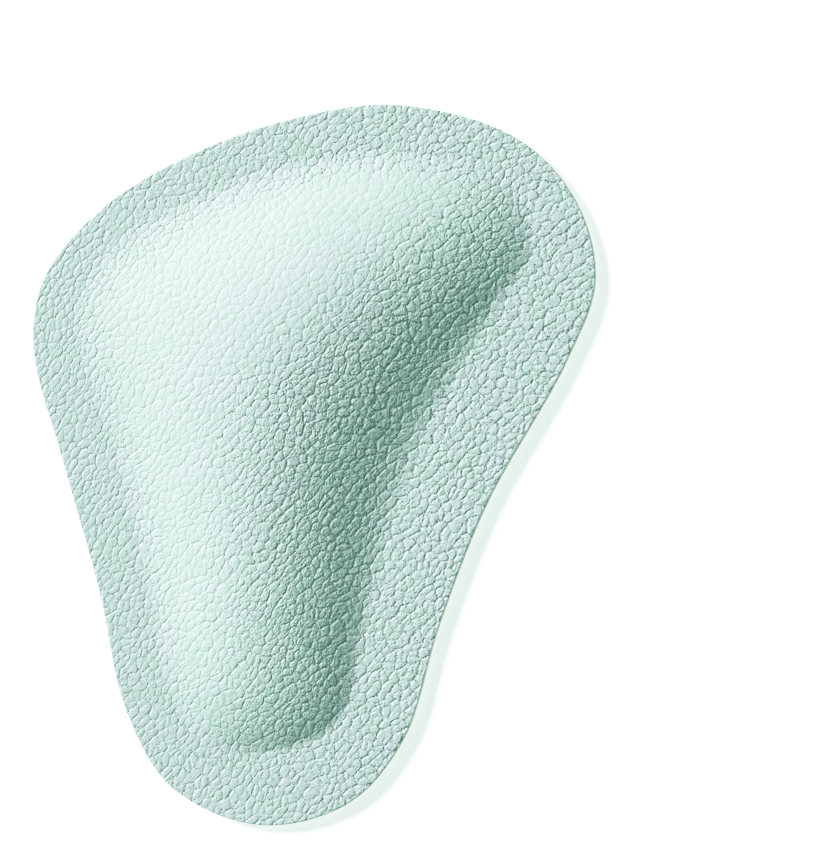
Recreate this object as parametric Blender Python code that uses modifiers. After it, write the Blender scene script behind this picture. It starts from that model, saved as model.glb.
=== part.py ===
"""Forefoot pad: a skin of leather moulded into a hollow dome with a flat flange, and the
foam core that fills the dome. The pad lies flat on z = 0 with its toe end towards +Y."""

import bmesh
import bpy
import numpy as np

# Overall size of the pad, in metres.
PAD_LENGTH = 0.0840
PAD_WIDTH = 0.0660

# The leather cover.
LEATHER_WALL = 0.0012
FLANGE_WIDTH = 0.0085       # from the cut edge to the dome's foot, where the table says 1
FLANK_ANGLE = 41            # degrees at which a long straight flank would rise
FOOT_FILLET = 0.0040        # how softly the dome leaves the flange, where the table says 1

# The foam core.
CORE_GAP = 0.0003           # clearance between the leather and the foam
CORE_RIM = 0.0003           # height of the foam's upright rim

# How finely the surfaces are divided.
POINTS_ROUND = 80
RINGS_DOME = 9
RINGS_FLANGE = 2
FINE_STEPS = 3              # points of the fine outline for each of POINTS_ROUND
SPAN_STEPS = 12             # points of the curve between two rows of the table
FOOT_EASING = 8             # smoothing passes over the dome's foot

# The cut edge, anticlockwise from the widest point of the inner lobe: shares of the half
# width and the half length. The flange and the fillet there are shares of FLANGE_WIDTH and
# FOOT_FILLET.
EDGE_TABLE = (
    # across, along, flange, fillet
    (0.998, 0.512, 0.98, 0.60),
    (0.929, 0.732, 0.68, 0.48),
    (0.719, 0.907, 0.56, 0.60),
    (0.307, 1.000, 0.60, 0.80),
    (-0.083, 0.962, 0.58, 1.12),
    (-0.474, 0.851, 0.53, 1.57),
    (-0.766, 0.707, 0.45, 1.67),
    (-0.965, 0.512, 0.52, 1.75),
    (-0.996, 0.323, 0.58, 1.75),
    (-0.893, 0.017, 0.68, 1.87),
    (-0.762, -0.345, 0.62, 1.75),
    (-0.666, -0.679, 0.62, 1.12),
    (-0.503, -0.896, 0.74, 0.72),
    (-0.183, -1.000, 1.00, 0.36),
    (0.130, -0.937, 1.00, 0.25),
    (0.325, -0.757, 0.88, 0.30),
    (0.449, -0.445, 0.96, 1.10),
    (0.620, -0.103, 1.12, 2.00),
    (0.897, 0.287, 1.18, 1.00),
)

# Where the dome's rings start, as shares of the half width and the half length.
DOME_CENTRE = (-0.15, 0.21)

# Linear colours of the two materials.
LEATHER_COLOUR = (0.54, 0.69, 0.65, 1.0)
FOAM_COLOUR = (0.78, 0.72, 0.58, 1.0)


def clear_scene():
    """Removes what the file holds, so that only the pad is in it."""
    for thing in list(bpy.data.objects):
        bpy.data.objects.remove(thing, do_unlink=True)


def closed_curve(rows):
    """A smooth closed line through the rows, SPAN_STEPS points from each row to the next."""
    spans = np.linalg.norm(np.roll(rows[:, :2], -1, axis=0) - rows[:, :2], axis=1) ** 0.5
    steps = np.arange(SPAN_STEPS) / SPAN_STEPS
    line = []
    for i in range(len(rows)):
        before, here, after, beyond = (rows[(i + k) % len(rows)] for k in (-1, 0, 1, 2))
        d0, d1, d2 = spans[i - 1], spans[i], spans[(i + 1) % len(rows)]
        leaving = d1 * ((here - before) / d0 - (after - before) / (d0 + d1) + (after - here) / d1)
        arriving = d1 * ((after - here) / d1 - (beyond - here) / (d1 + d2) + (beyond - after) / d2)
        for t in steps:
            line.append((2 * t**3 - 3 * t**2 + 1) * here + (t**3 - 2 * t**2 + t) * leaving
                        + (3 * t**2 - 2 * t**3) * after + (t**3 - t**2) * arriving)
    return np.array(line)


def spaced_evenly(line, count):
    """The closed line again, as count rows at even distances along it."""
    looped = np.vstack((line, line[:1]))
    travelled = np.insert(np.cumsum(np.linalg.norm(np.diff(looped[:, :2], axis=0), axis=1)), 0, 0)
    stops = travelled[-1] * np.arange(count) / count
    return np.stack([np.interp(stops, travelled, column) for column in looped.T], axis=1)


def cut_edge():
    """Points of the cut edge, and the flange's width and the fillet at each of them."""
    rows = np.array(EDGE_TABLE) * (PAD_WIDTH / 2, PAD_LENGTH / 2, FLANGE_WIDTH, FOOT_FILLET)
    rows = spaced_evenly(closed_curve(rows), POINTS_ROUND * FINE_STEPS)
    kept = rows[::FINE_STEPS, :2]
    low, high = kept.min(axis=0), kept.max(axis=0)
    edge = (rows[:, :2] - (low + high) / 2) / (high - low) * (PAD_WIDTH, PAD_LENGTH)
    return edge, rows[:, 2], rows[:, 3]


def dome_foot(edge, flange):
    """The line where the dome leaves the flange, one point for each point of the edge."""
    along = np.roll(edge, -1, axis=0) - np.roll(edge, 1, axis=0)
    inward = np.stack((-along[:, 1], along[:, 0]), axis=1)
    foot = edge + inward / np.linalg.norm(inward, axis=1)[:, None] * flange[:, None]
    for _ in range(FOOT_EASING):
        foot = (np.roll(foot, 1, axis=0) + 2 * foot + np.roll(foot, -1, axis=0)) / 4
    return foot


def dome_height(points, foot):
    """Height of the leather's inner face over points inside the foot, whose rows hold a
    place and a fillet. Each point's distance and fillet are smooth means over all directions."""
    to_foot = foot[None, :, :2] - points[:, None]
    reach = np.maximum(np.linalg.norm(to_foot, axis=2), 1e-9)
    after, reach_after = np.roll(to_foot, -1, axis=1), np.roll(reach, -1, axis=1)
    cross = to_foot[..., 0] * after[..., 1] - to_foot[..., 1] * after[..., 0]
    dot = (to_foot * after).sum(axis=2)
    half_angle = cross / np.maximum(reach * reach_after + dot, 1e-12)
    here, ahead = half_angle / reach, half_angle / reach_after
    total = np.maximum((here + ahead).sum(axis=1), 1e-9)
    fillet = (here @ foot[:, 2] + ahead @ np.roll(foot[:, 2], -1)) / total
    return flank_slope() * (np.hypot(2 / total, fillet) - fillet)


def flank_slope():
    """Rise over run of a long straight flank."""
    return np.tan(np.radians(FLANK_ANGLE))


def drawn_in(foot, shares):
    """The foot line drawn in towards the dome's centre, to these shares of the way out."""
    centre = np.array(DOME_CENTRE) * (PAD_WIDTH / 2, PAD_LENGTH / 2)
    return centre + (foot[:, :2] - centre) * np.reshape(shares, (-1, 1))


def ring_shares():
    """Shares of the way out from the dome's centre, closer together towards the foot."""
    return np.sin(np.pi / 2 * np.arange(1, RINGS_DOME + 1) / RINGS_DOME)


def core_rim(foot, drop):
    """Shares of the way out at which the foam, drop below the leather, is as high as its rim."""
    inner, outer = np.zeros(len(foot)), np.ones(len(foot))
    for _ in range(30):
        middle = (inner + outer) / 2
        thick = dome_height(drawn_in(foot, middle), foot) - drop > CORE_RIM
        inner, outer = np.where(thick, middle, inner), np.where(thick, outer, middle)
    return inner


def add_ring(mesh, ring, places):
    """Extrudes the open edge of the surface and puts each new vertex at its place."""
    edges = [mesh.edges.get((ring[i - 1], ring[i])) for i in range(len(ring))]
    grown = set(bmesh.ops.extrude_edge_only(mesh, edges=edges)["geom"])
    outer = []
    for vertex, place in zip(ring, places):
        partner = next(e.other_vert(vertex) for e in vertex.link_edges if e.other_vert(vertex) in grown)
        partner.co = place
        outer.append(partner)
    return outer


def surface_from_rings(rings):
    """A bmesh surface: a fan inside the first ring, and a band from each ring to the next."""
    mesh = bmesh.new()
    bmesh.ops.create_circle(mesh, cap_ends=True, cap_tris=True, segments=len(rings[0]), radius=1)
    ring = [vertex for vertex in mesh.verts if vertex.is_boundary]
    middle = next(vertex for vertex in mesh.verts if not vertex.is_boundary)
    middle.co = rings[0].mean(axis=0)
    for vertex, place in zip(ring, rings[0]):
        vertex.co = place
    for places in rings[1:]:
        ring = add_ring(mesh, ring, places)
    bmesh.ops.recalc_face_normals(mesh, faces=mesh.faces)
    if sum(face.normal.z for face in mesh.faces) < 0:
        bmesh.ops.reverse_faces(mesh, faces=mesh.faces)
    return mesh


def material(name, colour, roughness):
    """A Principled material with no metal in it."""
    made = bpy.data.materials.new(name)
    made.use_nodes = True
    shader = made.node_tree.nodes["Principled BSDF"]
    shader.inputs["Base Color"].default_value = colour
    shader.inputs["Roughness"].default_value = roughness
    shader.inputs["Metallic"].default_value = 0
    return made


def add_object(name, mesh, made, collection):
    """Puts the bmesh into a smooth shaded object of the collection."""
    data = bpy.data.meshes.new(name)
    mesh.to_mesh(data)
    mesh.free()
    data.shade_smooth()
    data.materials.append(made)
    thing = bpy.data.objects.new(name, data)
    collection.objects.link(thing)
    return thing


def leather_cover(edge, foot, collection):
    """The leather: its inner face is drawn from rings, and Solidify gives it its wall."""
    rings = []
    for share in ring_shares():
        flat = drawn_in(foot, share)
        rings.append(np.column_stack((flat, dome_height(flat, foot) if share < 1 else flat[:, 0] * 0)))
    for k in range(1, RINGS_FLANGE + 1):
        flat = foot[:, :2] + (edge - foot[:, :2]) * k / RINGS_FLANGE
        rings.append(np.column_stack((flat, flat[:, 0] * 0)))
    skin = surface_from_rings(rings)
    cover = add_object("leather_cover", skin, material("leather", LEATHER_COLOUR, 0.5), collection)
    wall = cover.modifiers.new("wall", "SOLIDIFY")
    wall.thickness = LEATHER_WALL
    wall.offset = 1
    wall.use_even_offset = True


def foam_core(foot, collection):
    """The foam: its top follows the leather's inner face, and its underside is flat."""
    drop = CORE_GAP * np.hypot(1, flank_slope())
    rim = core_rim(foot, drop)
    rings = []
    for share in ring_shares():
        flat = drawn_in(foot, rim * share)
        rings.append(np.column_stack((flat, dome_height(flat, foot) - drop)))
    foam = surface_from_rings(rings)
    open_edges = [edge for edge in foam.edges if edge.is_boundary]
    for grown in bmesh.ops.extrude_edge_only(foam, edges=open_edges)["geom"]:
        if isinstance(grown, bmesh.types.BMVert):
            grown.co.z = 0
    bmesh.ops.holes_fill(foam, edges=[edge for edge in foam.edges if edge.is_boundary])
    bmesh.ops.recalc_face_normals(foam, faces=foam.faces)
    core = add_object("foam_core", foam, material("latex_foam", FOAM_COLOUR, 0.8), collection)
    core.data.set_sharp_from_angle(angle=np.radians(40))


def main():
    clear_scene()
    collection = bpy.data.collections.new("forefoot_pad")
    bpy.context.scene.collection.children.link(collection)
    fine_edge, flange, fillet = cut_edge()
    edge = fine_edge[::FINE_STEPS]
    foot = np.column_stack((dome_foot(fine_edge, flange), fillet))[::FINE_STEPS]
    leather_cover(edge, foot, collection)
    foam_core(foot, collection)


main()
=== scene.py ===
"""Dresses the forefoot pad. The leather cover is one closed skin with pebbled grain on top, a
cut edge and a suede underside, and the foam core under its dome is open-celled latex."""

import bmesh
import bpy
import numpy as np
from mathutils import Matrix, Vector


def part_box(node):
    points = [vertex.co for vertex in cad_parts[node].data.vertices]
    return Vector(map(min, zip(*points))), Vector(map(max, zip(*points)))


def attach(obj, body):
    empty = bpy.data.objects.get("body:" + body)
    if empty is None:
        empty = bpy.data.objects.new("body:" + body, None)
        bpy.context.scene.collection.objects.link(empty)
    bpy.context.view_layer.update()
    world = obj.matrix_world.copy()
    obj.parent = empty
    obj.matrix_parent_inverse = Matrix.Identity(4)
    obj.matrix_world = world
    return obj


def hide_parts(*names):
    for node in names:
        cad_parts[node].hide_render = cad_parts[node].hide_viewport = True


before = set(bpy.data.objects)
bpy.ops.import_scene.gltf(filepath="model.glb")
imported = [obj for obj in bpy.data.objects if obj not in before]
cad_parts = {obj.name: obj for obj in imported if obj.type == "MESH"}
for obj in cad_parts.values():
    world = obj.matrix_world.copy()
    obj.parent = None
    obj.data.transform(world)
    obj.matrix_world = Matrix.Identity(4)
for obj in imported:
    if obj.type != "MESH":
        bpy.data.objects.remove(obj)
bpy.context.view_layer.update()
cover_low, cover_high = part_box("leather_cover")

MILLIMETRE = 0.001

# Sizes in metres, as the solids have them.
PAD_WIDTH, PAD_LENGTH = (cover_high - cover_low)[:2]
LEATHER_WALL = 0.0012
FLANGE_WIDTH = 0.0085       # from the cut edge to the dome's foot, where the table says 1
FLANK_ANGLE = 41            # degrees at which a long straight flank would rise
FOOT_FILLET = 0.0040        # how softly the dome leaves the flange, where the table says 1

# How finely the outline is drawn.
SPAN_STEPS = 12             # points of the curve between two rows of the table
OUTLINE_POINTS = 240
FOOT_EASING = 8             # smoothing passes over the dome's foot

# The cut edge, anticlockwise from the widest point of the inner lobe: shares of the half
# width and the half length. The flange and the fillet there are shares of FLANGE_WIDTH and
# FOOT_FILLET.
EDGE_TABLE = (
    # across, along, flange, fillet
    (0.998, 0.512, 0.98, 0.60),
    (0.929, 0.732, 0.68, 0.48),
    (0.719, 0.907, 0.56, 0.60),
    (0.307, 1.000, 0.60, 0.80),
    (-0.083, 0.962, 0.58, 1.12),
    (-0.474, 0.851, 0.53, 1.57),
    (-0.766, 0.707, 0.45, 1.67),
    (-0.965, 0.512, 0.52, 1.75),
    (-0.996, 0.323, 0.58, 1.75),
    (-0.893, 0.017, 0.68, 1.87),
    (-0.762, -0.345, 0.62, 1.75),
    (-0.666, -0.679, 0.62, 1.12),
    (-0.503, -0.896, 0.74, 0.72),
    (-0.183, -1.000, 1.00, 0.36),
    (0.130, -0.937, 1.00, 0.25),
    (0.325, -0.757, 0.88, 0.30),
    (0.449, -0.445, 0.96, 1.10),
    (0.620, -0.103, 1.12, 2.00),
    (0.897, 0.287, 1.18, 1.00),
)

# Where the dome's rings start, as shares of the half width and the half length.
DOME_CENTRE = (-0.15, 0.21)

# The hide's mesh: divisions across and along the pad, and where its four corners lie, as
# shares of the way round the cut edge from the table's first row.
HIDE_COLUMNS = 264
HIDE_ROWS = 304
HIDE_CORNERS = (0.06, 0.35, 0.66, 0.80)

# The leather's materials, in the order of their slots.
GRAIN_SLOT, CUT_SLOT, FLESH_SLOT = range(3)

# The cut edge's profile, in metres.
EDGE_ROUND = 0.00014        # radius of the top corner
EDGE_LEAN = 0.00006         # how far the foot of the cut stands out past its top
EDGE_BREAK = 0.00008        # radius of the bottom corner

# Rows of the skin from the sheet's rim round to the underside.
ROUND_TURNS = (             # how far the top corner has turned, and the slot of the faces there
    (np.pi / 8, GRAIN_SLOT),
    (np.pi / 4, GRAIN_SLOT),
    (np.pi * 3 / 8, CUT_SLOT),
    (np.pi / 2, CUT_SLOT),
)
CUT_ROWS = (0.35, 1.0)      # shares of the way down the cut
BREAK_TURNS = (np.pi / 4, np.pi / 2)
UNDER_ROWS = (0.5, 1.0)     # shares of the way in under the flange
HOLLOW_ROWS = (0.95, 0.88, 0.7, 0.35)   # shares of the way out from the dome's centre
EDGE_STEPS = 4000           # how finely the cut edge is searched for its nearest point

# The foam, in metres.
FOAM_GAP = 0.00012          # clearance under the leather
FOAM_RIM = 0.00020          # height of the skived rim
FOAM_POINTS = 240
FOAM_RINGS = 14
FOAM_FLOOR_ROWS = (1.0, 0.94, 0.75, 0.5, 0.25)  # shares of the way out from the dome's centre
RIM_HALVINGS = 30           # steps of the search for the rim

# The most points whose height is worked out at once.
HEIGHT_BATCH = 4000

# The plates of the grain, in millimetres.
PLATE_SIZE = 0.91
PLATE_TILT = 0.06           # how strongly the plates tilt, one this way and the next that way
SWELL_RUN = 0.36            # from a plate's wall to its rounded top
SWELL_HEIGHT = 0.03
SHEET_DROP = 0.00002        # metres by which the sheet gives way to the swell

# The creases round the plates: lengths in millimetres, depths as shares of CREASE_DEPTH.
CREASE_DEPTH = 0.055
WALL_RUN = 0.23             # from the bottom of a crease to the plate
WALL_DEPTHS = (0.25, 0.75)  # of a faint crease and a plain one
PAIR_SHUFFLE = 2.7          # mixes the chances of two neighbouring plates into one
PAIR_CHANCE = (0.1, 0.9)
FOLD_DEPTH = 0.7            # added along the long folds
FOLD_SPACING = 1.5
FOLD_WANDER = (0.22, 5.0)   # shapes a millimetre, and reach
BREAK_SCALE = 2.6           # breaks in the creases, in shapes a millimetre
BREAK_CHANCE = (0.35, 0.6)
BREAK_DEPTHS = (0.45, 1.0)  # in a break and outside it, as shares of the crease's own depth
CORNER_RUN = 0.20
CORNER_REACH = (0.45, 0.80)     # from a plate's middle, in plates
CORNER_DEPTH = 0.6

# The beads between the plates and on some of them, in millimetres.
BEAD_SIZE = 0.32
BEAD_HEIGHT = 0.085
BEADED_CHANCE = (0.55, 0.85)    # which plates are beaded
BEADED_SHARES = (0.25, 0.9)     # how much, on a plain plate and a beaded one
BEAD_RIM = (0.08, 0.26)         # from the creases, where all is beaded

# The pits along the creases, in millimetres.
PIT_SPACING = 0.32
PIT_CHANCE = (0.35, 0.5)        # which pits are open
PIT_RADII = (0.12, 0.46)        # of the pit's bottom and its brim, in spacings
PIT_RIM = (0.05, 0.14)          # from the creases, where the pits end

# Noise that pushes the patterns about: shapes a millimetre, and reach in millimetres.
HIDE_WARP = (0.16, 1.7)
PLATE_WARP = (0.45, 0.8)
RAGGED_WARP = (2.2, 0.28)
BEAD_WARP = (2.4, 0.10)
PIT_WARP = (0.9, 0.4)
PORE_WARP = (1.5, 0.3)
CELL_SPREAD = 0.8           # how irregular all cells are

# The creases' run, slanting over the pad.
ALONG_SCALE = 0.58          # less than ACROSS_SCALE, so the plates are longer along the run
ACROSS_SCALE = 0.71
CREASE_BEND = 0.003

# How deep the grain is, as shares: from the pad's outer side to its inner side, on the
# flange and on the dome, and on the dome's toe, where the hide is stretched the most.
FLANGE_GRAIN = (0.48, 0.78)
DOME_GRAIN = (0.38, 1.30)
TOE_GRAIN = 0.27

# Where it changes, in metres: across the pad, and past the toe line along it.
FLANGE_SPAN = (-0.022, 0.020)
DOME_SPAN = (-0.016, 0.007)
TOE_LINE = 0.008
TOE_RUN = 0.012
FOOT_LEVELS = (0.0013, 0.0023)  # heights between which the flange goes over to the dome

# The finish on the grain, with painted grey sheen on the flange and crown and painted shade in the
# creases and pits.
MINT = (0.415, 0.572, 0.505, 1)
# the grey of a painted sheen on the up-facing flange and crown, and of the random blotches
GREY_SHEEN_AND_BLOTCH = (0.48, 0.565, 0.565, 1)
# the deep green of the painted shade in the creases and pits
PAINTED_SHADE = (0.13, 0.235, 0.185, 1)
FLANGE_SHEEN = (0.45, 0.10)     # how grey the painted sheen makes the flange, and the dome just above it
FLANGE_LEVELS = (0.0012, 0.0018)
# how grey the painted sheen makes the dome's crown
CROWN_SHEEN = 0.30
CROWN_LEVELS = (0.0032, 0.0044)
BLOTCH_SCALE = 0.4
BLOTCH_BLOOM = 0.5
BOTTOM_SHARE = 0.35             # how much a crease's bottom counts beside a pit's, for the painted shade and the roughness
PITTED = (0.3, 0.05)            # pits on the flange and on the dome, past the grain's depth
PIT_GRAIN = 0.9
# where the painted shade in the creases and pits sets in, and how much of it there is
PAINTED_SHADE_RANGE = (0.3, 1.0)
PAINTED_SHADE_SHARE = 0.85
GRAIN_ROUGHNESS = (0.45, 0.7)   # on the plates and in the creases
GRAIN_SPECULAR = 0.4
SPECK_SCALE = 3.8
SPECK_HEIGHT = 0.10             # in millimetres

# The cut through the hide, the suede and the foam. Scales are in shapes a millimetre, the
# pores' sizes in millimetres and the reliefs in metres.
FIBRE_TONES = ((0.62, 0.66, 0.58, 1), (0.80, 0.83, 0.76, 1))
FIBRE_SCALE = 2.2
FIBRE_LAYERS = (1.0, 1.0, 4.0)  # the fibres lie flat, so they are closer together upwards
FIBRE_RELIEF = 0.00006
FIBRE_ROUGHNESS = 0.8
SUEDE_TONES = ((0.50, 0.58, 0.53, 1), (0.66, 0.74, 0.69, 1))
SUEDE_BRUSHED = (0.70, 0.77, 0.72, 1)
BRUSHED_SCALE = 0.12
BRUSHED_SHARE = 0.35
NAP_SCALE = 3.0
NAP_RELIEF = 0.0001
SUEDE_ROUGHNESS = 0.95
SUEDE_SHEEN = 0.3
# the cream of the foam's struts, and the painted shade inside its pores
LATEX_AND_PORE_SHADE = ((0.80, 0.74, 0.60, 1), (0.62, 0.54, 0.40, 1))
LATEX_ROUGHNESS = 0.85
PORE_SIZE = 0.5
PORE_RIM = (0.05, 0.2)
PORE_RELIEF = 0.0001

# The levels of noise between which one tone goes over to another.
TONE_RANGE = (0.3, 0.7)
BRUSHED_RANGE = (0.4, 0.6)

# The floor, which glows a little: its reach from the middle and how far below the pad it
# lies, in metres.
FLOOR_REACH = 3
FLOOR_TONE = (0.93, 0.93, 0.93, 1)
FLOOR_ROUGHNESS = 0.9
FLOOR_GLOW = (1, 0.98, 0.97, 1)
FLOOR_GLOW_STRENGTH = 0.7
FLOOR_DROP = 0.00002

# The key light: degrees round from the pad's right and down from overhead, distance and
# size in metres, power in watts. The surround is an even glow from all sides.
KEY_AZIMUTH = 147
KEY_FROM_OVERHEAD = 64
KEY_DISTANCE = 3.0
KEY_SIZE = 1.0
KEY_POWER = 238
KEY_TINT = (1.0, 0.90, 0.965)
SURROUND_TINT = (0.34, 1.0, 0.72, 1)
SURROUND_STRENGTH = 0.307

# The photograph's frame: its size and the pad's middle in it, in pixels. The pad, 84 mm
# long, is 722 pixels long.
PICTURE_SIZE = (820, 850)
PAD_MIDDLE = (312.4, 465.3)
METRES_A_PIXEL = 0.084 / 722
CAMERA_LEAN = np.radians(5)
CAMERA_LENS = 150
SENSOR_SIZE = 36

# The camera's tone curve: what the picture shows for some levels of light. Light at
# FILM_WHITE and above is pure white.
FILM_WHITE = 1.5
FILM_CURVE = ((0.30, 0.30), (0.55, 0.55), (0.75, 0.73), (1.00, 0.88), (1.25, 0.965))


def closed_curve(rows):
    """A smooth closed line through the rows, SPAN_STEPS points from each row to the next."""
    spans = np.linalg.norm(np.roll(rows[:, :2], -1, axis=0) - rows[:, :2], axis=1) ** 0.5
    steps = np.arange(SPAN_STEPS) / SPAN_STEPS
    line = []
    for i in range(len(rows)):
        before, here, after, beyond = (rows[(i + k) % len(rows)] for k in (-1, 0, 1, 2))
        d0, d1, d2 = spans[i - 1], spans[i], spans[(i + 1) % len(rows)]
        leaving = d1 * ((here - before) / d0 - (after - before) / (d0 + d1) + (after - here) / d1)
        arriving = d1 * ((after - here) / d1 - (beyond - here) / (d1 + d2) + (beyond - after) / d2)
        for t in steps:
            line.append((2 * t**3 - 3 * t**2 + 1) * here + (t**3 - 2 * t**2 + t) * leaving
                        + (3 * t**2 - 2 * t**3) * after + (t**3 - t**2) * arriving)
    return np.array(line)


def at_shares(line, shares):
    """Rows of the closed line at these shares of the way round it."""
    looped = np.vstack((line, line[:1]))
    travelled = np.insert(np.cumsum(np.linalg.norm(np.diff(looped[:, :2], axis=0), axis=1)), 0, 0)
    stops = travelled[-1] * (np.asarray(shares) % 1)
    return np.stack([np.interp(stops, travelled, column) for column in looped.T], axis=1)


def cut_edge_and_foot():
    """The cut edge, and the dome's foot with the fillet at each of its points."""
    rows = np.array(EDGE_TABLE) * (PAD_WIDTH / 2, PAD_LENGTH / 2, FLANGE_WIDTH, FOOT_FILLET)
    rows = at_shares(closed_curve(rows), np.arange(OUTLINE_POINTS) / OUTLINE_POINTS)
    low, high = rows[:, :2].min(axis=0), rows[:, :2].max(axis=0)
    edge = (rows[:, :2] - (low + high) / 2) / (high - low) * (PAD_WIDTH, PAD_LENGTH)
    foot = edge - outward(edge) * rows[:, 2:3]
    for _ in range(FOOT_EASING):
        foot = (np.roll(foot, 1, axis=0) + 2 * foot + np.roll(foot, -1, axis=0)) / 4
    return edge, np.column_stack((foot, rows[:, 3]))


def outward(line):
    """Unit normals of an anticlockwise closed line, pointing out of it."""
    along = np.roll(line, -1, axis=0) - np.roll(line, 1, axis=0)
    normals = np.stack((along[:, 1], -along[:, 0]), axis=1)
    return normals / np.linalg.norm(normals, axis=1)[:, None]


def flank_height(points, foot):
    """Height of the leather's inner face, from each point's distance inside the foot and the
    fillet there, which are smooth means over all directions. It is 0 outside the foot."""
    to_foot = foot[None, :, :2] - points[:, None]
    reach = np.maximum(np.linalg.norm(to_foot, axis=2), 1e-9)
    after, reach_after = np.roll(to_foot, -1, axis=1), np.roll(reach, -1, axis=1)
    cross = to_foot[..., 0] * after[..., 1] - to_foot[..., 1] * after[..., 0]
    dot = (to_foot * after).sum(axis=2)
    half_angle = cross / np.maximum(reach * reach_after + dot, 1e-12)
    here, ahead = half_angle / reach, half_angle / reach_after
    total = np.maximum((here + ahead).sum(axis=1), 1e-9)
    fillet = (here @ foot[:, 2] + ahead @ np.roll(foot[:, 2], -1)) / total
    height = np.tan(np.radians(FLANK_ANGLE)) * (np.hypot(2 / total, fillet) - fillet)
    return np.where(np.arctan(half_angle).sum(axis=1) > np.pi / 2, height, 0)


def dome_height(points, foot):
    """flank_height for any number of points, a batch at a time."""
    batches = np.array_split(points, len(points) // HEIGHT_BATCH + 1)
    return np.concatenate([flank_height(batch, foot) for batch in batches])


def drawn_in(foot, shares):
    """The foot line drawn in towards the dome's centre, to these shares of the way out."""
    centre = np.array(DOME_CENTRE) * (PAD_WIDTH / 2, PAD_LENGTH / 2)
    return centre + (foot[:, :2] - centre) * np.reshape(shares, (-1, 1))


def link(tree, socket, value):
    """Feeds a socket from another socket, or sets it to a value."""
    if isinstance(value, bpy.types.NodeSocket):
        tree.links.new(value, socket)
    else:
        socket.default_value = value


def math_node(tree, operation, *values):
    """The result of a Math node."""
    node = tree.nodes.new("ShaderNodeMath")
    node.operation = operation
    for socket, value in zip(node.inputs, values):
        link(tree, socket, value)
    return node.outputs[0]


def times(tree, first, second):
    """The product of two values."""
    return math_node(tree, "MULTIPLY", first, second)


def less(tree, value):
    """1 less the value."""
    return math_node(tree, "SUBTRACT", 1.0, value)


def vector_node(tree, operation, first, second):
    """The result of a Vector Math node, whose second input may be a plain scale."""
    node = tree.nodes.new("ShaderNodeVectorMath")
    node.operation = operation
    link(tree, node.inputs[0], first)
    link(tree, node.inputs["Scale"] if operation == "SCALE" else node.inputs[1], second)
    return node.outputs[0]


def parts_of(tree, vector):
    """The three parts of a vector or a colour."""
    node = tree.nodes.new("ShaderNodeSeparateXYZ")
    tree.links.new(vector, node.inputs[0])
    return node.outputs


def in_millimetres(tree, place):
    """A place in metres, in millimetres."""
    return vector_node(tree, "SCALE", place, 1 / MILLIMETRE)


def ramp_node(tree, value, low, high, start=0.0, end=1.0):
    """A smooth rise from start to end as the value goes from low to high."""
    node = tree.nodes.new("ShaderNodeMapRange")
    node.interpolation_type = "SMOOTHSTEP"
    for name, setting in zip(("Value", "From Min", "From Max", "To Min", "To Max"),
                             (value, low, high, start, end)):
        link(tree, node.inputs[name], setting)
    return node.outputs[0]


def noise_node(tree, place, scale, detail, output="Factor", roughness=0.5):
    """A noise texture, whose scale is in shapes a millimetre."""
    node = tree.nodes.new("ShaderNodeTexNoise")
    link(tree, node.inputs["Vector"], place)
    node.inputs["Scale"].default_value = scale
    node.inputs["Detail"].default_value = detail
    node.inputs["Roughness"].default_value = roughness
    return node.outputs["Color"] if output == "Color" else node.outputs[0]


def warped(tree, place, scale, reach):
    """The place pushed about by noise, by up to half of reach, in millimetres."""
    push = vector_node(tree, "SUBTRACT", noise_node(tree, place, scale, 1, "Color"), (0.5, 0.5, 0.5))
    return vector_node(tree, "ADD", place, vector_node(tree, "SCALE", push, reach))


def cells(tree, place, size, feature="DISTANCE_TO_EDGE"):
    """Irregular cells of this size in millimetres: the node whose outputs describe them."""
    node = tree.nodes.new("ShaderNodeTexVoronoi")
    node.voronoi_dimensions = "2D"
    node.feature = feature
    link(tree, node.inputs["Vector"], place)
    node.inputs["Scale"].default_value = 1 / size
    node.inputs["Randomness"].default_value = CELL_SPREAD
    return node


def edge_distance(tree, place, size):
    """Distance in millimetres to the nearest wall between cells of this size."""
    return times(tree, cells(tree, place, size).outputs["Distance"], size)


def hide_place(tree, position):
    """Millimetres on the hide: along the creases, which bend over the pad, and across them."""
    x, y = parts_of(tree, warped(tree, in_millimetres(tree, position), *HIDE_WARP))[:2]
    along = times(tree, math_node(tree, "ADD", x, y), ALONG_SCALE)
    bend = times(tree, times(tree, x, x), CREASE_BEND)
    across = math_node(tree, "MULTIPLY_ADD", math_node(tree, "SUBTRACT", y, x), ACROSS_SCALE, bend)
    joined = tree.nodes.new("ShaderNodeCombineXYZ")
    tree.links.new(along, joined.inputs[0])
    tree.links.new(across, joined.inputs[1])
    return joined.outputs[0]


def fold_row(tree, place):
    """Which row between two long folds a place lies in. The rows wander over the hide."""
    scale, reach = FOLD_WANDER
    wave = noise_node(tree, place, scale, 2)
    across = math_node(tree, "MULTIPLY_ADD", wave, reach, parts_of(tree, place)[1])
    return math_node(tree, "FLOOR", math_node(tree, "DIVIDE", across, FOLD_SPACING))


def chance(tree, cell):
    """A random number from 0 to 1 for each cell."""
    return parts_of(tree, cell.outputs["Color"])[0]


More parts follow.
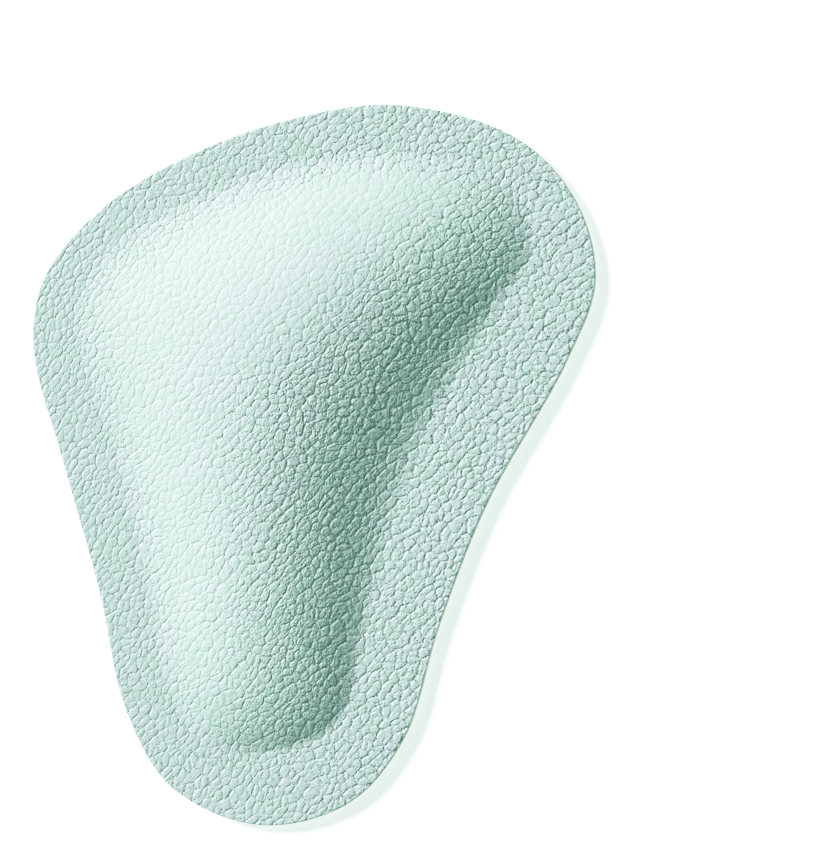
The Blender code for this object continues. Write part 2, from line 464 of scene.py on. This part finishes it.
def grain(tree, position):
    """The pebbled grain. Gives the rounded swell of its plates and the drop into its creases,
    both in millimetres, and masks of its creases and of the pits along them."""
    place = hide_place(tree, position)
    ragged = warped(tree, warped(tree, place, *PLATE_WARP), *RAGGED_WARP)
    plate, neighbour = (cells(tree, ragged, PLATE_SIZE, feature) for feature in ("F1", "F2"))
    rim = edge_distance(tree, ragged, PLATE_SIZE)
    rows = (fold_row(tree, node.outputs["Position"]) for node in (plate, neighbour))
    apart = math_node(tree, "ABSOLUTE", math_node(tree, "SUBTRACT", *rows))
    fold = math_node(tree, "MINIMUM", apart, 1.0)
    chances = [chance(tree, node) for node in (plate, neighbour)]
    pair = math_node(tree, "FRACT", times(tree, math_node(tree, "ADD", *chances), PAIR_SHUFFLE))
    plain = ramp_node(tree, pair, *PAIR_CHANCE, *WALL_DEPTHS)
    depth = math_node(tree, "MULTIPLY_ADD", fold, FOLD_DEPTH, plain)
    breaks = noise_node(tree, place, BREAK_SCALE, 1)
    depth = times(tree, depth, ramp_node(tree, breaks, *BREAK_CHANCE, *BREAK_DEPTHS))
    crease = times(tree, less(tree, ramp_node(tree, rim, 0.0, WALL_RUN)), depth)
    corner = ramp_node(tree, plate.outputs["Distance"], *CORNER_REACH, 0.0, CORNER_DEPTH)
    corner = times(tree, less(tree, ramp_node(tree, rim, 0.0, CORNER_RUN)), corner)

    bead = cells(tree, warped(tree, place, *BEAD_WARP), BEAD_SIZE, "F1").outputs["Distance"]
    beaded = ramp_node(tree, chances[0], *BEADED_CHANCE, *BEADED_SHARES)
    beaded = math_node(tree, "MAXIMUM", beaded, ramp_node(tree, rim, *BEAD_RIM, 1.0, 0.0))
    gap = times(tree, times(tree, bead, bead), beaded)

    hole = cells(tree, warped(tree, place, *PIT_WARP), PIT_SPACING, "F1")
    open_hole = ramp_node(tree, chance(tree, hole), *PIT_CHANCE)
    sunk = ramp_node(tree, hole.outputs["Distance"], *PIT_RADII, 1.0, 0.0)
    pit = times(tree, times(tree, sunk, open_hole), ramp_node(tree, rim, *PIT_RIM, 1.0, 0.0))

    lean = vector_node(tree, "SUBTRACT", plate.outputs["Color"], (0.5, 0.5, 0.5))
    arm = vector_node(tree, "SUBTRACT", ragged, plate.outputs["Position"])
    tilt = tree.nodes.new("ShaderNodeVectorMath")
    tilt.operation = "DOT_PRODUCT"
    tree.links.new(lean, tilt.inputs[0])
    tree.links.new(arm, tilt.inputs[1])
    tilted = times(tree, tilt.outputs["Value"], PLATE_TILT)

    swell = times(tree, ramp_node(tree, rim, 0.0, SWELL_RUN), SWELL_HEIGHT)
    deep = math_node(tree, "ADD", crease, corner)
    drop = math_node(tree, "MULTIPLY_ADD", deep, -CREASE_DEPTH, tilted)
    drop = math_node(tree, "MULTIPLY_ADD", gap, -BEAD_HEIGHT, drop)
    return swell, drop, crease, pit


def press_grain(sheet):
    """Lifts the sheet's points by the rounded part of the grain."""
    tree = bpy.data.node_groups.new("pressed_grain", "GeometryNodeTree")
    tree.interface.new_socket("Geometry", in_out="INPUT", socket_type="NodeSocketGeometry")
    tree.interface.new_socket("Geometry", in_out="OUTPUT", socket_type="NodeSocketGeometry")
    start, end = tree.nodes.new("NodeGroupInput"), tree.nodes.new("NodeGroupOutput")
    position = tree.nodes.new("GeometryNodeInputPosition")
    normal = tree.nodes.new("GeometryNodeInputNormal")
    moved = tree.nodes.new("GeometryNodeSetPosition")
    rounded = grain(tree, position.outputs[0])[0]
    metres = math_node(tree, "MULTIPLY_ADD", rounded, MILLIMETRE, -SHEET_DROP)
    lift = vector_node(tree, "SCALE", normal.outputs[0], metres)
    tree.links.new(start.outputs[0], moved.inputs["Geometry"])
    tree.links.new(lift, moved.inputs["Offset"])
    tree.links.new(moved.outputs[0], end.inputs[0])
    pressing = sheet.modifiers.new("pressed_grain", "NODES")
    pressing.node_group = tree
    graph = bpy.context.evaluated_depsgraph_get()
    pressed = bpy.data.meshes.new_from_object(sheet.evaluated_get(graph))
    sheet.modifiers.remove(pressing)
    return pressed


def sides_of_hide(edge):
    """The inset cut edge as four sides of the grid: bottom, right, top and left, each as a
    function of its share from left to right or from bottom to top."""
    inset = edge - outward(edge) * (EDGE_ROUND + EDGE_LEAN)
    right_top, left_top, left_heel, right_heel = HIDE_CORNERS

    def side(start, end):
        return lambda share: at_shares(inset, start + (end - start) * share)

    return (side(left_heel, right_heel), side(right_heel, 1 + right_top),
            side(left_top, right_top), side(left_heel, left_top))


def hide_sheet(edge, foot):
    """The leather's upper face as one fine grid, blended between its four sides."""
    mesh = bmesh.new()
    bmesh.ops.create_grid(mesh, x_segments=HIDE_COLUMNS, y_segments=HIDE_ROWS, size=1)
    data = bpy.data.meshes.new("hide_sheet")
    mesh.to_mesh(data)
    mesh.free()
    flat = np.empty(len(data.vertices) * 3, np.float32)
    data.vertices.foreach_get("co", flat)
    s, t = (flat.reshape(-1, 3)[:, :2].T.astype(float) + 1) / 2
    bottom, right, top, left = sides_of_hide(edge)
    s, t = s[:, None], t[:, None]
    across, upward = s.ravel(), t.ravel()
    corners = [side(np.array([share])) for side in (bottom, top) for share in (0.0, 1.0)]
    blend = (1 - t) * bottom(across) + t * top(across) + (1 - s) * left(upward) + s * right(upward)
    blend -= (1 - s) * (1 - t) * corners[0] + s * (1 - t) * corners[1]
    blend -= (1 - s) * t * corners[2] + s * t * corners[3]
    place = np.column_stack((blend, dome_height(blend, foot)))
    data.vertices.foreach_set("co", place.ravel())
    data.update()
    normals = np.empty(len(data.vertices) * 3, np.float32)
    data.vertices.foreach_get("normal", normals)
    data.vertices.foreach_set("co", (place + normals.reshape(-1, 3) * LEATHER_WALL).ravel())
    data.update()
    return bpy.data.objects.new("hide_sheet", data)


def add_row(mesh, row, places, slot):
    """Extrudes the open edge of the surface and puts each new vertex at its place."""
    edges = [mesh.edges.get((row[i - 1], row[i])) for i in range(len(row))]
    grown = bmesh.ops.extrude_edge_only(mesh, edges=edges)["geom"]
    fresh = set(grown)
    outer = []
    for vertex, place in zip(row, places):
        partner = next(e.other_vert(vertex) for e in vertex.link_edges if e.other_vert(vertex) in fresh)
        partner.co = place
        outer.append(partner)
    for face in grown:
        if isinstance(face, bmesh.types.BMFace):
            face.material_index = slot
            face.smooth = True
    return outer


def open_loop(mesh):
    """The vertices of the surface's open edge, in order, anticlockwise from above."""
    first = next(edge for edge in mesh.edges if edge.is_boundary)
    loop = [first.verts[0], first.verts[1]]
    while True:
        ahead = next(edge.other_vert(loop[-1]) for edge in loop[-1].link_edges
                     if edge.is_boundary and edge.other_vert(loop[-1]) is not loop[-2])
        if ahead is loop[0]:
            break
        loop.append(ahead)
    area = sum(a.co.x * b.co.y - b.co.x * a.co.y for a, b in zip(loop, loop[1:] + loop[:1]))
    return loop if area > 0 else loop[::-1]


def leather_cover(edge, foot):
    """The whole skin: the grained sheet, its cut edge and its suede underside."""
    sheet = hide_sheet(edge, foot)
    bpy.context.scene.collection.objects.link(sheet)
    pressed = press_grain(sheet)
    bpy.data.objects.remove(sheet)
    mesh = bmesh.new()
    mesh.from_mesh(pressed)
    for face in mesh.faces:
        face.smooth = True
    row = open_loop(mesh)
    rim = np.array([vertex.co for vertex in row])
    normals = outward(rim[:, :2])
    shares = nearest_shares(edge, rim[:, :2])
    under_edge, under_foot = at_shares(edge, shares), paired(edge, foot, shares)
    for turn, slot in ROUND_TURNS:
        out = rim[:, :2] + normals * EDGE_ROUND * np.sin(turn)
        level = rim[:, 2] - EDGE_ROUND * (1 - np.cos(turn))
        row = add_row(mesh, row, np.column_stack((out, level)), slot)
    for share in CUT_ROWS:
        out = rim[:, :2] + normals * (EDGE_ROUND + EDGE_LEAN * share)
        top, bottom = rim[:, 2] - EDGE_ROUND, EDGE_BREAK
        row = add_row(mesh, row, np.column_stack((out, top + (bottom - top) * share)), CUT_SLOT)
    for turn in BREAK_TURNS:
        out = rim[:, :2] + normals * (EDGE_ROUND + EDGE_LEAN - EDGE_BREAK * (1 - np.cos(turn)))
        low = np.full(len(rim), EDGE_BREAK * (1 - np.sin(turn)))
        row = add_row(mesh, row, np.column_stack((out, low)), CUT_SLOT)
    for share in UNDER_ROWS:
        flat = under_edge + (under_foot - under_edge) * share
        row = add_row(mesh, row, np.column_stack((flat, np.zeros(len(rim)))), FLESH_SLOT)
    for share in HOLLOW_ROWS:
        flat = drawn_in(under_foot, share)
        row = add_row(mesh, row, np.column_stack((flat, dome_height(flat, foot))), FLESH_SLOT)
    bmesh.ops.holes_fill(mesh, edges=[e for e in mesh.edges if e.is_boundary])
    bmesh.ops.recalc_face_normals(mesh, faces=mesh.faces)
    return finished_piece("pebbled_leather", mesh, (grain_side(), cut_side(), flesh_side()))


def nearest_shares(edge, points):
    """For each point, the share of the way round the cut edge where it is nearest."""
    fine = np.arange(EDGE_STEPS) / EDGE_STEPS
    line = at_shares(edge, fine)
    return np.array([fine[((line - point) ** 2).sum(axis=1).argmin()] for point in points])


def paired(edge, foot, shares):
    """Points of the foot line that belong to these shares of the cut edge."""
    rows = np.column_stack((edge, foot))
    return at_shares(rows, shares)[:, 2:4]


def foam_core(foot):
    """The foam: its top follows the leather's inner face down to a thin skived rim."""
    line = at_shares(foot, np.arange(FOAM_POINTS) / FOAM_POINTS)
    inner, outer = np.zeros(FOAM_POINTS), np.ones(FOAM_POINTS)
    for _ in range(RIM_HALVINGS):
        middle = (inner + outer) / 2
        thick = dome_height(drawn_in(line, middle), foot) > FOAM_RIM + FOAM_GAP
        inner, outer = np.where(thick, middle, inner), np.where(thick, outer, middle)
    mesh = bmesh.new()
    bmesh.ops.create_circle(mesh, cap_ends=True, cap_tris=True, segments=FOAM_POINTS, radius=1)
    row = [vertex for vertex in mesh.verts if vertex.is_boundary]
    hub = next(vertex for vertex in mesh.verts if not vertex.is_boundary)
    shares = np.sin(np.pi / 2 * np.arange(1, FOAM_RINGS + 1) / FOAM_RINGS)
    tops = []
    for share in shares:
        flat = drawn_in(line, inner * share)
        tops.append(np.column_stack((flat, dome_height(flat, foot) - FOAM_GAP)))
    hub.co = tops[0].mean(axis=0)
    for vertex, place in zip(row, tops[0]):
        vertex.co = place
    for places in tops[1:]:
        row = add_row(mesh, row, places, 0)
    rim = tops[-1]
    for share in FOAM_FLOOR_ROWS:
        flat = drawn_in(rim[:, :2], share)
        row = add_row(mesh, row, np.column_stack((flat, np.zeros(len(rim)))), 0)
    bmesh.ops.holes_fill(mesh, edges=[e for e in mesh.edges if e.is_boundary])
    bmesh.ops.recalc_face_normals(mesh, faces=mesh.faces)
    return finished_piece("latex_cushion", mesh, (foam(),))


def finished_piece(name, mesh, materials):
    """Puts the bmesh into an object of its own, with its materials."""
    data = bpy.data.meshes.new(name)
    mesh.to_mesh(data)
    mesh.free()
    for material in materials:
        data.materials.append(material)
    piece = bpy.data.objects.new(name, data)
    bpy.context.scene.collection.objects.link(piece)
    return piece


def new_material(name):
    """A material and its Principled shader."""
    made = bpy.data.materials.new(name)
    made.use_nodes = True
    return made, made.node_tree.nodes["Principled BSDF"]


def object_place(tree):
    """The place on the piece, in metres."""
    return tree.nodes.new("ShaderNodeTexCoord").outputs["Object"]


def mixed_colour(tree, share, first, second):
    """One colour going over to another."""
    node = tree.nodes.new("ShaderNodeMix")
    node.data_type = "RGBA"
    link(tree, node.inputs[0], share)
    link(tree, node.inputs[6], first)
    link(tree, node.inputs[7], second)
    return node.outputs[2]


def raised(tree, shader, height, metres):
    """Feeds the shader's normal from a height, whose unit is this many metres."""
    bump = tree.nodes.new("ShaderNodeBump")
    bump.inputs["Strength"].default_value = 1
    bump.inputs["Distance"].default_value = metres
    link(tree, bump.inputs["Height"], height)
    link(tree, shader.inputs["Normal"], bump.outputs[0])


def grain_depth(tree, place):
    """How deep the grain is. It is shallow where the hide is stretched, over the dome's
    outer side and toe, and deep on its inner flank. Also gives how pitted the hide is."""
    x, y, z = parts_of(tree, place)
    on_flange = ramp_node(tree, x, *FLANGE_SPAN, *FLANGE_GRAIN)
    toe = math_node(tree, "MAXIMUM", math_node(tree, "SUBTRACT", y, TOE_LINE), 0.0)
    stretched = ramp_node(tree, toe, 0.0, TOE_RUN, DOME_GRAIN[0], TOE_GRAIN)
    inward = math_node(tree, "SUBTRACT", x, toe)
    on_dome = ramp_node(tree, inward, *DOME_SPAN, stretched, DOME_GRAIN[1])
    depth = ramp_node(tree, z, *FOOT_LEVELS, on_flange, on_dome)
    return depth, ramp_node(tree, z, *FOOT_LEVELS, *PITTED)


def grain_tone(tree, place, millimetres):
    """Pale mint with greyer blotches at random, and a painted grey sheen on the flange and the dome's
    crown, which face up.
    """
    z = parts_of(tree, place)[2]
    blotch = noise_node(tree, millimetres, BLOTCH_SCALE, 2)
    # Painted sheen: the up-facing flange and crown go greyer; the blotches go greyer at random.
    sheen_and_blotch = math_node(tree, "ADD", ramp_node(tree, z, *FLANGE_LEVELS, *FLANGE_SHEEN),
                      ramp_node(tree, z, *CROWN_LEVELS, 0.0, CROWN_SHEEN))
    sheen_and_blotch = math_node(tree, "ADD", sheen_and_blotch, ramp_node(tree, blotch, *TONE_RANGE, 0.0, BLOTCH_BLOOM))
    return mixed_colour(tree, sheen_and_blotch, MINT, GREY_SHEEN_AND_BLOTCH)


def grain_side():
    """The pebbled grain under its finish, with painted shade and less shine in its creases and pits."""
    made, shader = new_material("grain_leather")
    tree = made.node_tree
    place = object_place(tree)
    millimetres = in_millimetres(tree, place)
    drop, crease, pit = grain(tree, place)[1:]
    depth, pitted = grain_depth(tree, place)
    pit = times(tree, pit, math_node(tree, "MULTIPLY_ADD", depth, PIT_GRAIN, pitted))
    bottom = math_node(tree, "MULTIPLY_ADD", times(tree, crease, depth), BOTTOM_SHARE, pit)
    # Painted shade: the crease bottoms and pits are darkened towards deep green.
    painted_shade = ramp_node(tree, bottom, *PAINTED_SHADE_RANGE, 0.0, PAINTED_SHADE_SHARE)
    tone = mixed_colour(tree, painted_shade, grain_tone(tree, place, millimetres), PAINTED_SHADE)
    link(tree, shader.inputs["Base Color"], tone)
    link(tree, shader.inputs["Roughness"], ramp_node(tree, bottom, 0.0, 1.0, *GRAIN_ROUGHNESS))
    shader.inputs["Specular IOR Level"].default_value = GRAIN_SPECULAR

    speck = noise_node(tree, millimetres, SPECK_SCALE, 1, roughness=0.6)
    height = times(tree, math_node(tree, "MULTIPLY_ADD", speck, SPECK_HEIGHT, drop), depth)
    raised(tree, shader, math_node(tree, "MULTIPLY_ADD", pit, -CREASE_DEPTH, height), MILLIMETRE)
    return made


def cut_side():
    """The cut through the hide: pale fibres in layers."""
    made, shader = new_material("cut_leather")
    tree = made.node_tree
    place = in_millimetres(tree, object_place(tree))
    layers = vector_node(tree, "MULTIPLY", place, FIBRE_LAYERS)
    fibres = noise_node(tree, layers, FIBRE_SCALE, 4, roughness=0.65)
    tone = mixed_colour(tree, ramp_node(tree, fibres, *TONE_RANGE), *FIBRE_TONES)
    link(tree, shader.inputs["Base Color"], tone)
    shader.inputs["Roughness"].default_value = FIBRE_ROUGHNESS
    raised(tree, shader, fibres, FIBRE_RELIEF)
    return made


def flesh_side():
    """The suede underside: short nap with brushed patches."""
    made, shader = new_material("suede_leather")
    tree = made.node_tree
    place = in_millimetres(tree, object_place(tree))
    nap = noise_node(tree, place, NAP_SCALE, 5, roughness=0.7)
    patches = noise_node(tree, place, BRUSHED_SCALE, 3)
    brushed = ramp_node(tree, patches, *BRUSHED_RANGE, 0.0, BRUSHED_SHARE)
    tone = mixed_colour(tree, ramp_node(tree, nap, *TONE_RANGE), *SUEDE_TONES)
    link(tree, shader.inputs["Base Color"], mixed_colour(tree, brushed, tone, SUEDE_BRUSHED))
    shader.inputs["Roughness"].default_value = SUEDE_ROUGHNESS
    shader.inputs["Sheen Weight"].default_value = SUEDE_SHEEN
    raised(tree, shader, nap, NAP_RELIEF)
    return made


def foam():
    """Cream latex foam with fine open pores, whose insides are darkened with painted shade."""
    made, shader = new_material("latex_foam")
    tree = made.node_tree
    place = in_millimetres(tree, object_place(tree))
    inside = edge_distance(tree, warped(tree, place, *PORE_WARP), PORE_SIZE)
    pore = ramp_node(tree, inside, *PORE_RIM)
    # Painted shade: the pores, which sink in, are darker than the struts between them.
    link(tree, shader.inputs["Base Color"], mixed_colour(tree, pore, *LATEX_AND_PORE_SHADE))
    shader.inputs["Roughness"].default_value = LATEX_ROUGHNESS
    raised(tree, shader, times(tree, pore, -1.0), PORE_RELIEF)
    return made


def floor():
    """A plain white light table, so that the pad's shadow stays pale."""
    mesh = bmesh.new()
    bmesh.ops.create_grid(mesh, x_segments=1, y_segments=1, size=FLOOR_REACH)
    made, shader = new_material("white_floor")
    shader.inputs["Base Color"].default_value = FLOOR_TONE
    shader.inputs["Roughness"].default_value = FLOOR_ROUGHNESS
    shader.inputs["Emission Color"].default_value = FLOOR_GLOW
    shader.inputs["Emission Strength"].default_value = FLOOR_GLOW_STRENGTH
    plane = finished_piece("floor", mesh, (made,))
    plane.location.z = -FLOOR_DROP


def key_light():
    """A large round soft light at the upper left, which faces the pad."""
    lamp = bpy.data.lights.new("key", "AREA")
    lamp.shape = "DISK"
    lamp.size = KEY_SIZE
    lamp.energy = KEY_POWER
    lamp.color = KEY_TINT
    light = bpy.data.objects.new("key", lamp)
    turn, lean = np.radians(KEY_AZIMUTH), np.radians(KEY_FROM_OVERHEAD)
    aim = np.array((np.sin(lean) * np.cos(turn), np.sin(lean) * np.sin(turn), np.cos(lean)))
    light.location = aim * KEY_DISTANCE
    light.rotation_mode = "QUATERNION"
    light.rotation_quaternion = light.location.to_track_quat("Z", "Y")
    bpy.context.scene.collection.objects.link(light)


def surround():
    """An even pale green glow from all sides."""
    world = bpy.data.worlds.new("surround")
    world.use_nodes = True
    ground = world.node_tree.nodes["Background"]
    ground.inputs["Color"].default_value = SURROUND_TINT
    ground.inputs["Strength"].default_value = SURROUND_STRENGTH
    bpy.context.scene.world = world


def film():
    """Shows the colours as they are, with a soft shoulder to the highlights."""
    view = bpy.context.scene.view_settings
    view.view_transform = "Standard"
    view.use_curve_mapping = True
    view.curve_mapping.white_level = (FILM_WHITE,) * 3
    for light, shown in FILM_CURVE:
        view.curve_mapping.curves[3].points.new(light / FILM_WHITE, shown)
    view.curve_mapping.update()


def camera():
    """Looks almost straight down, leaning a little over the pad's right side."""
    lens = bpy.data.cameras.new("camera")
    lens.lens = CAMERA_LENS
    lens.sensor_width = SENSOR_SIZE
    middle = np.array((PICTURE_SIZE[0] / 2 - PAD_MIDDLE[0], PAD_MIDDLE[1] - PICTURE_SIZE[1] / 2, 0))
    away = PICTURE_SIZE[1] * METRES_A_PIXEL * CAMERA_LENS / SENSOR_SIZE
    back = np.array((np.sin(CAMERA_LEAN), 0, np.cos(CAMERA_LEAN)))
    viewer = bpy.data.objects.new("camera", lens)
    viewer.location = middle * METRES_A_PIXEL + back * away
    viewer.rotation_euler = (0, CAMERA_LEAN, 0)
    bpy.context.scene.collection.objects.link(viewer)
    bpy.context.scene.camera = viewer


edge, foot = cut_edge_and_foot()
cover = leather_cover(edge, foot)
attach(cover, "root")
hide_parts("leather_cover")

cushion = foam_core(foot)
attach(cushion, "root")
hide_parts("foam_core")

floor()
key_light()
surround()
film()
camera()
